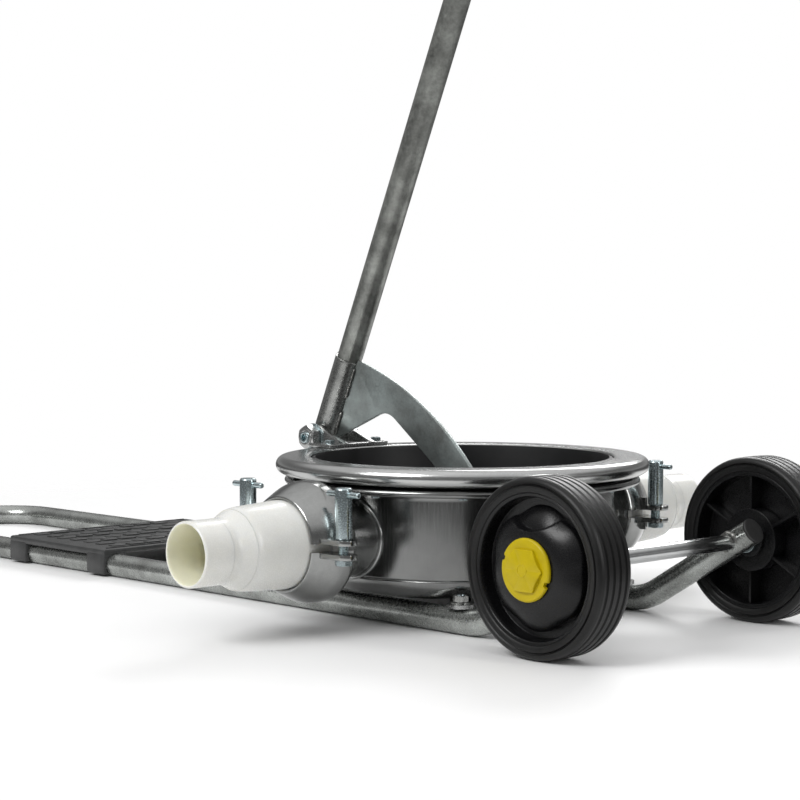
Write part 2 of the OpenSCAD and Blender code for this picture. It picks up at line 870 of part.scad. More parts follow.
module t_bar(side, x) {
    color(zinc) at_stud(side, x) translate([0, 0, nut_low + t_nut_h - 6]) rotate([0, 90, 0])
        cylinder(r = bar_r, h = bar_l, center = true);
}

frame_tube();
rail_plugs();
axle();
axle_spacers();
axle_clips();
foot_pad();
drum_lugs();
lug_bolts();
lug_nuts();
drum();
rim_ring();
rim_screws();
diaphragm();
hinge_bracket();
bracket_screws();
hinge_bolt();
hinge_nut();
hinge_washers();
neck(inlet);  // inlet_neck
neck(outlet);  // outlet_neck
seal(inlet);  // inlet_seal
seal(outlet);  // outlet_seal
valve_seat(inlet);  // inlet_valve_seat
valve_seat(outlet);  // outlet_valve_seat
flap_pins();
hose_tail(inlet);  // inlet_hose_tail
hose_tail(outlet);  // outlet_hose_tail
clamp_half(inlet, 1);  // inlet_clamp_upper
clamp_half(inlet, -1);  // inlet_clamp_lower
clamp_half(outlet, 1);  // outlet_clamp_upper
clamp_half(outlet, -1);  // outlet_clamp_lower
clamp_studs();
t_nut(inlet, front);  // inlet_t_nut_front
t_nut(inlet, rear);  // inlet_t_nut_rear
t_nut(outlet, front);  // outlet_t_nut_front
t_nut(outlet, rear);  // outlet_t_nut_rear
t_bar(inlet, front);  // inlet_t_bar_front
t_bar(inlet, rear);  // inlet_t_bar_rear
t_bar(outlet, front);  // outlet_t_bar_front
t_bar(outlet, rear);  // outlet_t_bar_rear
flap(inlet);  // inlet_flap
flap(outlet);  // outlet_flap
flap_weight(inlet);  // inlet_flap_weight
flap_weight(outlet);  // outlet_flap_weight
lever_socket();
lever_arm();
hinge_sleeve();
arm_foot();
pressure_disc();
backing_disc();
disc_bolts();
pole();
pole_cap();
wheel_hub(-1);  // right_wheel_hub
tyre(-1);  // right_tyre
hub_cap(-1);  // right_hub_cap
wheel_hub(1);  // left_wheel_hub
tyre(1);  // left_tyre
hub_cap(1);  // left_hub_cap
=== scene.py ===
import json
import math

import bmesh
import bpy
from mathutils import Matrix, Vector

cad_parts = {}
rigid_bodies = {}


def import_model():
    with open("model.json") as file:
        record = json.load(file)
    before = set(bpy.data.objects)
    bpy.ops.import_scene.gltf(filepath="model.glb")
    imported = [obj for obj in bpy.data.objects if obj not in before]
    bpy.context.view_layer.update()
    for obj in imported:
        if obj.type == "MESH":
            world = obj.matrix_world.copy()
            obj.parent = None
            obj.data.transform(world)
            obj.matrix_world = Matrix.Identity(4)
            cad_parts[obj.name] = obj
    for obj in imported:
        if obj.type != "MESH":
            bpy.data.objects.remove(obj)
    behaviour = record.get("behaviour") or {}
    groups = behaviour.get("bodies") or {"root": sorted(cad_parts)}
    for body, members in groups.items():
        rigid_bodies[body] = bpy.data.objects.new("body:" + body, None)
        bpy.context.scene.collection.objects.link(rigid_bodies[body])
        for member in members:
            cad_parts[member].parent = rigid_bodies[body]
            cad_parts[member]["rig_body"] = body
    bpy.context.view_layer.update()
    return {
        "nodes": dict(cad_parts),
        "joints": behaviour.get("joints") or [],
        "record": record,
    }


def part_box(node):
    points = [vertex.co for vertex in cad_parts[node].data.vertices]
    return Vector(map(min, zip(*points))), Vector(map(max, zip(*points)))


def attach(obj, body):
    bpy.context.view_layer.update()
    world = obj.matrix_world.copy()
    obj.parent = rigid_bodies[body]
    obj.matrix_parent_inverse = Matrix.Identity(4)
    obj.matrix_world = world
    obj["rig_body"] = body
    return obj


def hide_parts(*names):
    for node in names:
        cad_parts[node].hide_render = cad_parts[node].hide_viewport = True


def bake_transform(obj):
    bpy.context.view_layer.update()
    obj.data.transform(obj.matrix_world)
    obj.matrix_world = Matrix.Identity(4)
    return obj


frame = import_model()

# The looks of a hand diaphragm pump on a trolley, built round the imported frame.
# Shapes are in millimetres about the drum's axis and are scaled to metres at the end.
MM = 0.001
JOINTS = {j["name"]: j for j in frame["joints"]}
SLOTS = {s["node"]: s["material_slot"] for s in frame["record"]["subparts"]}
SIDES = {"inlet": -1, "outlet": 1}
WHEELS = {"right": -1, "left": 1}


def middle(node):
    low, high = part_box(node)
    return (low + high) / 2 / MM


DRUM_X = middle("drum").x
PIVOT = Vector(JOINTS["lever_pivot"]["pos_m"]) / MM
POLE_WAY = Vector(JOINTS["pole_pull"]["axis"]).normalized()
PORT_Z = middle("inlet_hose_tail").z
AXLE = middle("axle")
TAU = 2 * math.pi
TINY = 1e-3
CORNER_ANGLE = 30
SMOOTH_ANGLE = 35

# The pivot is this far in front of the pole's axis.
POLE_BACK = 5


def camera():
    """The photograph's viewpoint: 46.37 degrees round, 3.02 degrees down, a long lens."""
    data = bpy.data.cameras.new("camera")
    data.lens = 93.25
    data.sensor_width = 36
    data.clip_end = 100
    obj = bpy.data.objects.new("camera", data)
    bpy.context.scene.collection.objects.link(obj)
    turn, pitch = math.radians(46.37), math.radians(3.017)
    look = Vector((-math.sin(turn), math.cos(turn), -math.tan(pitch)))
    obj.location = (1.7892, -1.4784, 0.3195)
    obj.rotation_mode = "QUATERNION"
    obj.rotation_quaternion = look.to_track_quat("-Z", "Y")
    bpy.context.scene.camera = obj


camera()


# ---- Placing ----

def at_drum():
    return Matrix.Translation((DRUM_X, 0, 0))


def outward(x, z, side):
    """Local Z runs out along side's Y, local Y is up and local X is forward."""
    turn = Matrix(((1, 0, 0, 0), (0, 0, side, 0), (0, 1, 0, 0), (0, 0, 0, 1)))
    return Matrix.Translation((x, 0, z)) @ turn


def at_port(side):
    return outward(DRUM_X, PORT_Z, side)


def at_axle(side):
    return outward(AXLE.x, AXLE.z, side)


def at_plane():
    """Local X and Y are the part's X and Z, measured from the drum's axis and the ground."""
    return outward(DRUM_X, 0, -1)


def at_pole():
    """Local Z runs up the pole, from the level of the pivot."""
    lean = math.atan2(POLE_WAY.x, POLE_WAY.z)
    return Matrix.Translation((PIVOT.x - POLE_BACK, 0, PIVOT.z)) @ Matrix.Rotation(lean, 4, "Y")


def at_stud(side, x):
    """Local Z runs up a clamp stud, from the port's axis."""
    return Matrix.Translation((DRUM_X + x * STUD_X, side * STUD_Y, PORT_Z))


def turned(axis, x=0, y=0, z=0):
    """A quarter turn about an axis, then a shift."""
    return Matrix.Translation((x, y, z)) @ Matrix.Rotation(math.pi / 2, 4, axis)


# ---- Mesh work ----

def facing_out(bm):
    """Turns every face of closed shells outwards, also after a mirrored placing."""
    bm.normal_update()
    bmesh.ops.recalc_face_normals(bm, faces=bm.faces)


def joined(*meshes):
    """One bmesh that holds all the closed shells given."""
    result = meshes[0]
    for other in meshes[1:]:
        spare = bpy.data.meshes.new("spare")
        other.to_mesh(spare)
        other.free()
        result.from_mesh(spare)
        bpy.data.meshes.remove(spare)
    return result


def moved(bm, matrix):
    bm.transform(matrix)
    bm.normal_update()
    return bm


def shifted(bm, x=0, y=0, z=0):
    return moved(bm, Matrix.Translation((x, y, z)))


def rounded(points, radius, steps=4):
    """A closed outline with its corners rounded.

    A point may carry its own radius as a third number.
    """
    result = []
    count = len(points)
    for i, point in enumerate(points):
        here = Vector(point[:2])
        before = Vector(points[i - 1][:2]) - here
        after = Vector(points[(i + 1) % count][:2]) - here
        own = len(point) > 2
        size = min(point[2] if own else radius, 0.45 * before.length, 0.45 * after.length)
        # Beside an upright edge, a corner on the axis or left of it rounds only by its own radius.
        stays = here.x < TINY and not own and before.x * after.x == 0
        if size < TINY or stays:
            result.append(tuple(here))
            continue
        start = here + before.normalized() * size
        end = here + after.normalized() * size
        for k in range(steps + 1):
            t = k / steps
            spot = start * (1 - t) ** 2 + here * 2 * t * (1 - t) + end * t ** 2
            result.append(tuple(spot))
    return result


def lathe(outline, steps=96, wave=None):
    """Revolves a closed outline of (radius, height) points about Z.

    wave(radius, height, angle) gives each point's bent radius and height.
    """
    bm = bmesh.new()
    on_axis = {}
    rings = []
    for k in range(steps):
        angle = TAU * k / steps
        ring = []
        for i, point in enumerate(outline):
            r, z = wave(*point, angle) if wave else point
            if point[0] > 1e-6:
                ring.append(bm.verts.new((r * math.cos(angle), r * math.sin(angle), z)))
                continue
            if i not in on_axis:
                on_axis[i] = bm.verts.new((0, 0, z))
            ring.append(on_axis[i])
        rings.append(ring)
    count = len(outline)
    for k, ring in enumerate(rings):
        near = rings[(k + 1) % steps]
        for i in range(count):
            j = (i + 1) % count
            corners = []
            for vert in (ring[i], near[i], near[j], ring[j]):
                if vert not in corners:
                    corners.append(vert)
            if len(corners) > 2:
                bm.faces.new(corners)
    return bm


def soften(bm, width):
    """Rounds every edge sharper than CORNER_ANGLE."""
    facing_out(bm)
    sharp = math.radians(CORNER_ANGLE)
    edges = [e for e in bm.edges if e.is_manifold and e.calc_face_angle(0) > sharp]
    if width > 0 and edges:
        bmesh.ops.bevel(bm, geom=edges, offset=width, segments=2, profile=0.5,
                        affect="EDGES", clamp_overlap=True)
    return bm


def prism(outline, height, bevel=0.0, z=0):
    """Extrudes a closed outline along Z from z, with rounded edges."""
    bm = bmesh.new()
    low = [bm.verts.new((x, y, z)) for x, y in outline]
    high = [bm.verts.new((x, y, z + height)) for x, y in outline]
    ends = [bm.faces.new(low[::-1]), bm.faces.new(high)]
    bmesh.ops.triangulate(bm, faces=ends)
    for i in range(len(outline)):
        j = (i + 1) % len(outline)
        bm.faces.new((low[i], low[j], high[j], high[i]))
    return soften(bm, bevel)


def slab(x, y, z, bevel=1.0):
    """A block between pairs of X, Y and Z, with rounded edges."""
    outline = [(x[0], y[0]), (x[1], y[0]), (x[1], y[1]), (x[0], y[1])]
    return prism(outline, z[1] - z[0], bevel, z[0])


def round_bar(radius, z0, z1, chamfer=0.6, bore=0.0, steps=48, bore_depth=None):
    """A bar with broken edges, or a tube where bore is given, blind where bore_depth is."""
    outer = [(radius, z0), (radius, z1)]
    if not bore:
        outline = [(0, z0, 0), *outer, (0, z1, 0)]
    elif bore_depth is None:
        outline = [(bore, z0), *outer, (bore, z1)]
    else:
        end = z1 - bore_depth
        outline = [(0, z0, 0), *outer, (bore, z1), (bore, end), (0, end, 0)]
    return lathe(rounded(outline, chamfer, 2), steps)


def six_sided(apothem, z0, z1, bore=0.0, recess=0.0):
    """A nut or bolt head whose corners are cut by a cone at both ends."""
    sector = TAU / 6

    def flats(r, z, angle):
        if r < apothem * 0.9:
            return r, z
        reach = apothem / math.cos((angle + sector / 2) % sector - sector / 2)
        cone = (reach - apothem) * 0.6
        return r * reach / apothem, z - math.copysign(cone, z - (z0 + z1) / 2)

    inner = [(bore, z1), (bore, z0)]
    if recess:
        inner = [(bore + recess, z1), (bore, z1 - recess), (bore, z0)]
    edge = apothem * 0.94
    outline = [(edge, z0), (apothem, z0 + 0.4), (apothem, z1 - 0.4), (edge, z1), *inner]
    return lathe(outline, 120, flats)


def sweep(path, radius, wall=0.0, steps=40, swell=None):
    """A round bar along a list of points, or a tube where wall is given.

    swell(k) scales the radius of ring k.
    """
    path = [Vector(p) for p in path]
    ways = []
    for k in range(len(path)):
        before = path[max(k - 1, 0)]
        after = path[min(k + 1, len(path) - 1)]
        ways.append((after - before).normalized())
    across = ways[0].orthogonal().normalized()
    frames = []
    for way in ways:
        across = (across - way * across.dot(way)).normalized()
        frames.append((across.copy(), way.cross(across)))
    bm = bmesh.new()

    def ring(k, size):
        size *= swell(k) if swell else 1
        side, up = frames[k]
        turns = [TAU * i / steps for i in range(steps)]
        return [bm.verts.new(path[k] + (side * math.cos(a) + up * math.sin(a)) * size)
                for a in turns]

    rings = [ring(k, radius) for k in range(len(path))]
    if wall:
        rings += [ring(k, radius - wall) for k in reversed(range(len(path)))]
        rings.append(rings[0])
    for one, two in zip(rings, rings[1:]):
        for i in range(steps):
            j = (i + 1) % steps
            bm.faces.new((one[i], one[j], two[j], two[i]))
    if not wall:
        bm.faces.new(rings[0][::-1])
        bm.faces.new(rings[-1])
    return bm


def bead(path, radius):
    """A weld: a rippled bar along a path."""
    def ripple(k):
        taper = min(1, 0.4 + 0.3 * min(k, len(path) - 1 - k))
        return taper * (1 + 0.16 * math.sin(k * 1.9) + 0.06 * math.sin(k * 4.7))
    return sweep(path, radius, steps=12, swell=ripple)


def arc(centre, radius, start, end, steps):
    """Points along an arc in a plane, angles in degrees."""
    turns = [math.radians(start + (end - start) * k / steps) for k in range(steps + 1)]
    return [(centre[0] + radius * math.cos(a), centre[1] + radius * math.sin(a)) for a in turns]


def carved(bm, *cutters, operation="DIFFERENCE"):
    """bm with each cutter taken away, or added where operation is UNION."""
    facing_out(bm)
    holder = as_object("carving", bm)
    tools = []
    for cutter in cutters:
        facing_out(cutter)
        tool = as_object("cutter", cutter)
        tools.append(tool)
        modifier = holder.modifiers.new("cut", "BOOLEAN")
        modifier.operation = operation
        modifier.solver = "EXACT"
        modifier.object = tool
    bpy.context.view_layer.update()
    result = bmesh.new()
    result.from_mesh(holder.evaluated_get(bpy.context.evaluated_depsgraph_get()).to_mesh())
    for obj in [holder, *tools]:
        bpy.data.objects.remove(obj)
    return result


def as_object(name, bm):
    mesh = bpy.data.meshes.new(name)
    bm.to_mesh(mesh)
    bm.free()
    obj = bpy.data.objects.new(name, mesh)
    bpy.context.scene.collection.objects.link(obj)
    return obj


def shaded(bm, angle):
    """Smooth faces, with the edges sharper than angle kept crisp."""
    facing_out(bm)
    for face in bm.faces:
        face.smooth = True
    for edge in bm.edges:
        edge.smooth = edge.is_manifold and edge.calc_face_angle(0) < math.radians(angle)
    return bm


def piece(name, bm, material, *nodes, place, body=None, slot=None, angle=SMOOTH_ANGLE):
    """Makes a piece that stands for the nodes and rides on the first one's body.

    A piece that stands for no node gives its body itself; its slot argument is not used.
    """
    bm.transform(place)
    bm.transform(Matrix.Scale(MM, 4))
    obj = as_object(name, shaded(bm, angle))
    obj.data.materials.append(material)
    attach(obj, body or frame["nodes"][nodes[0]]["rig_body"])
    if nodes:
        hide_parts(*nodes)
    return obj


# ---- Materials ----

def surface(name, colour, metallic, roughness, grain, patch, tone, spread=0.08, bump=0.1,
            stretch=(1, 1, 1), tint=None, subsurface=0.0, shine=0.5):
    """A material with broad patches, fine grain, uneven roughness and a fine relief.

    grain and patch are noise scales per metre, tone is how far the colour swings and spread
    how far the roughness does, tint is the light patches' own colour, stretch squeezes the
    fine grain along an axis, as brushing does, and shine is the specular level.
    """
    material = bpy.data.materials.new(name)
    material.use_nodes = True
    tree = material.node_tree
    shader = tree.nodes["Principled BSDF"]
    shader.inputs["Metallic"].default_value = metallic
    shader.inputs["Specular IOR Level"].default_value = shine
    if subsurface:
        shader.inputs["Subsurface Weight"].default_value = subsurface
        shader.inputs["Subsurface Radius"].default_value = (1.0, 0.9, 0.7)
        shader.inputs["Subsurface Scale"].default_value = 0.006

    def node(kind, **values):
        made = tree.nodes.new(kind)
        for key, value in values.items():
            setattr(made, key, value)
        return made

    def noise(scale, detail, source):
        made = node("ShaderNodeTexNoise")
        made.inputs["Scale"].default_value = scale
        made.inputs["Detail"].default_value = detail
        made.inputs["Roughness"].default_value = 0.6
        tree.links.new(source, made.inputs["Vector"])
        return made.outputs["Fac"]

    place = node("ShaderNodeTexCoord").outputs["Object"]
    mapping = node("ShaderNodeMapping")
    mapping.inputs["Scale"].default_value = stretch
    tree.links.new(place, mapping.inputs["Vector"])
    broad = noise(patch, 6, place)
    fine = noise(grain, 8, mapping.outputs["Vector"])

    def spread_out(low, high):
        """The fine noise, moved to the range from low to high."""
        made = node("ShaderNodeMapRange")
        made.inputs["From Min"].default_value = 0.3
        made.inputs["From Max"].default_value = 0.7
        made.inputs["To Min"].default_value = low
        made.inputs["To Max"].default_value = high
        tree.links.new(fine, made.inputs["Value"])
        return made.outputs["Result"]

    ramp = node("ShaderNodeValToRGB")
    dark = [c * (1 - tone) for c in colour]
    light = [min(1, c * (1 + tone)) for c in (tint or colour)]
    ramp.color_ramp.elements[0].position = 0.32
    ramp.color_ramp.elements[0].color = (*dark, 1)
    ramp.color_ramp.elements[1].position = 0.68
    ramp.color_ramp.elements[1].color = (*light, 1)
    tree.links.new(broad, ramp.inputs["Fac"])
    speck = spread_out(1 - tone * 0.6, 1 + tone * 0.3)
    mix = node("ShaderNodeMix", data_type="RGBA", blend_type="MULTIPLY")
    mix.inputs["Factor"].default_value = 1
    tree.links.new(ramp.outputs["Color"], mix.inputs["A"])
    tree.links.new(speck, mix.inputs["B"])
    tree.links.new(mix.outputs["Result"], shader.inputs["Base Color"])
    rough = spread_out(roughness - spread, roughness + spread)
    tree.links.new(rough, shader.inputs["Roughness"])
    relief = node("ShaderNodeBump")
    relief.inputs["Strength"].default_value = bump
    relief.inputs["Distance"].default_value = 0.0005
    tree.links.new(fine, relief.inputs["Height"])
    tree.links.new(relief.outputs["Normal"], shader.inputs["Normal"])
    return material


# Each row: name, colour, metallic, roughness, grain, patch, tone, spread, bump and the rest.
POLISHED = surface("stainless_polished", (0.40, 0.405, 0.40), 1, 0.20, 900, 9, 0.16, 0.05, 0.05)
# The drum's shell is a darker copy of the stainless: painted shade for the dark surroundings its
# wall reflects, over a fine grain that runs upright.
DRUM_SHELL_SHADED = surface("drum_shell_spun_painted_shade", (0.24, 0.243, 0.24), 1, 0.21, 900, 9, 0.20, 0.05, 0.05,
               (1, 1, 0.04))
RIM = surface("rim_spun", (0.50, 0.505, 0.50), 1, 0.22, 900, 9, 0.14, 0.05, 0.05)
SATIN = surface("stainless_satin", (0.46, 0.465, 0.46), 1, 0.26, 700, 14, 0.16, 0.07, 0.1)
GALVANISED = surface("galvanised_tube", (0.36, 0.37, 0.355), 0.95, 0.27, 420, 30, 0.24, 0.09, 0.18,
                     tint=(0.42, 0.435, 0.42))
POLE = surface("galvanised_pole", (0.24, 0.245, 0.23), 0.8, 0.38, 330, 38, 0.32, 0.10, 0.28,
               tint=(0.33, 0.34, 0.32))
SOCKET = surface("socket_steel", (0.32, 0.325, 0.315), 0.95, 0.28, 500, 40, 0.26, 0.09, 0.2)
ARM = surface("arm_zinc", (0.28, 0.30, 0.29), 0.8, 0.40, 520, 26, 0.24, 0.10, 0.2,
              tint=(0.31, 0.35, 0.345))
BRIGHT = surface("bright_bar", (0.62, 0.63, 0.63), 1, 0.20, 800, 25, 0.12, 0.06, 0.08, (1, 0.05, 1))
ZINC = surface("zinc_plate", (0.48, 0.56, 0.58), 1, 0.24, 900, 60, 0.16, 0.08, 0.1)
CASTING = surface("clamp_casting", (0.34, 0.345, 0.34), 1, 0.18, 260, 30, 0.10, 0.05, 0.05)
RUBBER = surface("pad_rubber", (0.034, 0.035, 0.035), 0, 0.40, 1400, 60, 0.35, 0.12, 0.35,
                 shine=0.6)
MEMBRANE = surface("diaphragm_rubber", (0.009, 0.009, 0.0095), 0, 0.46, 1000, 30, 0.3, 0.1, 0.2,
                   shine=0.35)
TYRE = surface("tyre_rubber", (0.007, 0.007, 0.007), 0, 0.38, 1300, 50, 0.3, 0.1, 0.3,
               shine=0.34)
HUB = surface("hub_plastic", (0.006, 0.006, 0.0065), 0, 0.27, 1600, 40, 0.25, 0.08, 0.18,
              shine=0.32)
PLUG = surface("plug_plastic", (0.02, 0.02, 0.02), 0, 0.45, 1600, 40, 0.3, 0.08, 0.2)
YELLOW = surface("cap_yellow", (0.52, 0.40, 0.001), 0, 0.36, 1500, 60, 0.08, 0.06, 0.12,
                 shine=0.3)
NYLON = surface("nylon_natural", (0.74, 0.74, 0.71), 0, 0.26, 1200, 30, 0.04, 0.06, 0.08,
                subsurface=0.25)
# The inside of the hose tails: a lighter, yellower copy of the nylon, painted light.
NYLON_PAINTED_LIGHT_INSIDE = surface("nylon_painted_light_inside", (0.90, 0.885, 0.72), 0, 0.34, 1200, 30, 0.05, 0.08, 0.12,
                       subsurface=0.25)
WELD = surface("weld_steel", (0.22, 0.22, 0.21), 0.9, 0.38, 600, 200, 0.4, 0.12, 0.4)

DRESS = {
    "frame_steel": GALVANISED, "bright_steel": BRIGHT, "stainless": SATIN, "clamp_steel": CASTING,
    "zinc": ZINC, "arm_steel": ARM, "pole_steel": SOCKET, "rubber": MEMBRANE, "tyre": TYRE,
    "hub_plastic": HUB, "plug_plastic": PLUG, "cap_yellow": YELLOW, "nylon": NYLON,
}


def dress_cad_nodes():
    """Gives every CAD node its slot's material, and breaks its edges with modifiers."""
    for name, obj in frame["nodes"].items():
        obj.data.materials.clear()
        obj.data.materials.append(DRESS[SLOTS[name]])
        weld = obj.modifiers.new("weld", "WELD")
        weld.merge_threshold = 1e-6
        edge = obj.modifiers.new("edge", "BEVEL")
        edge.width = 0.0004
        edge.segments = 2
        edge.limit_method = "ANGLE"
        edge.angle_limit = math.radians(40)


# ---- Trolley ----

TUBE_R = 12.5
RAIL_Y = 115
BEND_REACH = 980
BEND_R = 70
RISE = math.radians(31)
RISE_BEND_R = 70
AXLE_REACH = AXLE.x - DRUM_X
AXLE_R = 7.5
UP_RISE = Vector((math.cos(RISE), 0, math.sin(RISE)))
# The rails go on past the axle by this much.
PAST = 22


def rail_path():
    """The frame's centreline, from the left rail's top end round the U bend to the right one's."""
    knee = AXLE_REACH - (AXLE.z - TUBE_R) / math.tan(RISE)
    tangent = RISE_BEND_R * math.tan(RISE / 2)
    level_end = knee - tangent
    slope = (AXLE.z - TUBE_R) / math.sin(RISE) - tangent + PAST

    def bend(angle):
        return Vector((level_end + RISE_BEND_R * math.sin(angle), RAIL_Y,
                       TUBE_R + RISE_BEND_R * (1 - math.cos(angle))))

    half = [bend(RISE) + UP_RISE * slope * (1 - k / 6) for k in range(6)]
    half += [bend(RISE * (1 - k / 10)) for k in range(11)]
    bend_x = BEND_R - BEND_REACH
    half += [Vector((level_end + (bend_x - level_end) * k / 24, RAIL_Y, TUBE_R))
             for k in range(1, 24)]
    for k in range(17):
        a = math.radians(90 + 90 * k / 16)
        half.append(Vector((bend_x + BEND_R * math.cos(a),
                            RAIL_Y - BEND_R + BEND_R * math.sin(a), TUBE_R)))
    return half + [Vector((p.x, -p.y, p.z)) for p in reversed(half)]


def trolley():
    """The bent frame tube, the axle with its welds, and the tube's plugs."""
    tube = sweep(rail_path(), TUBE_R, wall=2, steps=48)
    piece("frame_tube_bent", tube, GALVANISED, "frame_tube", place=at_drum())
    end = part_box("axle")[1].y / MM
    axle = round_bar(AXLE_R, -end, end, chamfer=1.2, steps=64)
    piece("axle_bar", axle, BRIGHT, "axle", place=at_axle(1))
    weld_at = RAIL_Y - TUBE_R + 0.8
    weld_r = AXLE_R + 1.5
    turns = [TAU * k / 26 for k in range(20)]
    for name, side in WHEELS.items():
        path = [(weld_r * math.cos(a), weld_r * math.sin(a), weld_at) for a in turns]
        piece(f"axle_weld_{name}", bead(path, 2.2), WELD, body="chassis", slot="frame_steel",
              place=at_axle(side))
    rail_plugs()


def rail_plugs():
    """Plugs in the rails' top ends, with a rounded head."""
    outline = rounded([(0, -8, 0), (10.3, -8), (10.3, 0), (TUBE_R, 0), (TUBE_R, 2.2), (11, 2.5),
                       (0, 2.5, 0)], 0.5, 3)
    turn = Matrix.Rotation(math.pi / 2 - RISE, 4, "Y")
    both = []
    for y in (-RAIL_Y, RAIL_Y):
        end = Vector((AXLE_REACH, y, AXLE.z)) + UP_RISE * PAST
        both.append(moved(lathe(outline, 64), Matrix.Translation(end) @ turn))
    piece("rail_end_plugs", joined(*both), PLUG, "rail_plugs", place=at_drum())


# ---- Foot pad ----

def foot_pad():
    """A rubber pad over both rails: a flat top with raised tread, and four clips."""
    low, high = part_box("foot_pad")
    x0, x1 = low.x / MM - DRUM_X, high.x / MM - DRUM_X
    half = high.y / MM
    top, skirt = 31, 23
    clip_x, clip_y = 34, 2 * TUBE_R + 8
    body = slab((x0, x1), (-half + 0.8, half - 0.8), (skirt, top), 2.6)
    clips = [slab((x, x + clip_x), (y, y + clip_y), (2, top - 4), 3.4)
             for x in (x0, x1 - clip_x) for y in (-half, half - 2 * TUBE_R - 8)]
    solid = carved(body, *clips, operation="UNION")
    through = (x0 - 5, x1 + 5)
    inner = RAIL_Y - TUBE_R
    mouth = 9.5
    holes = []
    for y in (-RAIL_Y, RAIL_Y):
        holes.append(moved(round_bar(TUBE_R + 0.3, *through, 0), turned("Y", 0, y, TUBE_R)))
        holes.append(slab(through, (y - mouth, y + mouth), (0, 6), 0))
    holes.append(slab(through, (-inner, inner), (skirt - 3, 25.5), 0))
    solid = carved(solid, *holes)
    piece("foot_pad_rubber", joined(solid, *tread(x0, x1, half, top)), RUBBER, "foot_pad",
          place=at_drum(), angle=40)


def tread(x0, x1, half, top):
    """Rows of raised bars whose length, place and height vary a little, between two cross bars."""
    rows, cells = 7, 9
    row_step, bar_width = 25, 11
    edge = half - 22
    bars = []
    for row in range(rows):
        x = x0 + 14 + row * row_step
        for cell in range(cells):
            y = -edge + cell * 2 * edge / cells
            gap = 2.6 + 1.1 * math.sin(2.3 * row + 4.1 * cell)
            step = 1.6 * math.sin(1.7 * row + 2.9 * cell)
            rise = top + 1.4 + 0.5 * math.sin(3.1 * row + 1.3 * cell)
            bars.append(slab((x + step, x + step + bar_width),
                             (y + gap, y + 2 * edge / cells - gap), (top - 1.2, rise), 1.1))
    for x in ((x0 + 6, x0 + 8), (x1 - 8, x1 - 6)):
        bars.append(slab(x, (-half + 9, half - 9), (top - 0.8, top + 1.2), 0.5))
    return bars


# ---- Drum ----

DRUM_R = 152
DRUM_LOW = 28.5
SHEET = 2
RIM_LOW = 135.2
RIM_TOP = 155
NECK_R = 37.5
LUG_X = 112


def drum():
    """Spun drum: rounded bottom, a fine seam low on the wall and a rolled lip under the rim."""
    seam = 47
    outline = rounded([
        (0, DRUM_LOW, 0), (118, DRUM_LOW, 8), (DRUM_R - 12, DRUM_LOW, 10),
        (DRUM_R - 1.2, seam - 6, 12),
        (DRUM_R - 0.6, seam - 1), (DRUM_R - 1.4, seam), (DRUM_R, seam + 1.4), (DRUM_R, 124, 3),
        (DRUM_R + 1, 129, 2), (172, 129, 2), (176, 127.5, 2), (178.7, 131, 3), (176.5, RIM_LOW, 3),
        (173, 134.4, 1), (173, 131, 1), (DRUM_R - SHEET, 131, 1),
        (DRUM_R - SHEET, 48, 10), (DRUM_R - 14, DRUM_LOW + SHEET, 12),
        (0, DRUM_LOW + SHEET, 0)], 0.8, 6)
    shell = lathe(outline, 256)
    cutters = []
    for side in SIDES.values():
        hole = round_bar(NECK_R - 2, 120, 170, 0, steps=96)
        cutters.append(moved(hole, outward(0, PORT_Z, side)))
    # The shell takes the darker stainless, which is painted shade.
    piece("drum_shell", carved(shell, *cutters), DRUM_SHELL_SHADED, "drum", place=at_drum())


def rim():
    """The rolled rim: a nearly flat top, a fat outer bead and an inner wall."""
    bead_at, bead_r = 178.5, 8.5
    bead_z = RIM_TOP - bead_r
    roll = arc((bead_at, bead_z), bead_r, 95, -190, 28)
    outline = [(DRUM_R, RIM_LOW), (DRUM_R, RIM_TOP - 1.6), (152.8, RIM_TOP - 0.5),
               (154.4, RIM_TOP), (164, RIM_TOP - 0.1), *roll, (168, 151.4), (155, 151.6),
               (155, 138.4), (169.5, 138.2), (170, 136.8), (169.5, RIM_LOW)]
    piece("rim_rolled", lathe(outline, 256), RIM, "rim_ring", place=at_drum())


def diaphragm():
    """The rubber hat: steep at the rim, a soft fold, then a cone down to the pressure disc."""
    low, top = (corner.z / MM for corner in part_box("diaphragm"))
    inside = low + 4
    outline = rounded([
        (0, low, 0), (74, low, 6), (139, 115.5, 8), (146, 120.5, 4), (147.4, 125, 3),
        (147.4, 131, 1),
        (169.5, 131, 0.5), (169.5, 135, 0.5), (151.4, 135, 0.5), (151.2, top - 1.2), (147.6, top),
        (144.6, 127, 4), (141.6, 122.5, 3), (136, 119.5, 6), (76, inside, 8),
        (0, inside, 0)], 0.5, 6)
    # Long runs are cut into short ones.
    longest = 4
    dense = []
    for (r0, z0), (r1, z1) in zip(outline, outline[1:] + outline[:1]):
        steps = max(1, int(math.dist((r0, z0), (r1, z1)) / longest))
        dense += [(r0 + (r1 - r0) * k / steps, z0 + (z1 - z0) * k / steps) for k in range(steps)]
    cloth = piece("diaphragm_rubber", lathe(dense, 160), MEMBRANE, "diaphragm", place=at_drum())
    cloth.parent = None
    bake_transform(cloth)


def lugs():
    """A stud with a washer and a hex nut on each of the drum's lugs."""
    bolt_r, bore = 4, 4.1
    nuts, bolts = [], []
    for x in (-LUG_X, LUG_X):
        for y in (-RAIL_Y, RAIL_Y):
            nut = joined(round_bar(9, 0, 1.5, 0.3, bore),
                         six_sided(6.5, 1.6, 8.0, bore, recess=0.6))
            nuts.append(shifted(nut, x, y, DRUM_LOW))
            bolts.append(shifted(round_bar(bolt_r, 8, 37.5, 0.8, steps=32), x, y))
    piece("lug_nuts_plated", joined(*nuts), SOCKET, "lug_nuts", place=at_drum())
    piece("lug_studs", joined(*bolts), ZINC, "lug_bolts", place=at_drum())


# ---- Ports ----

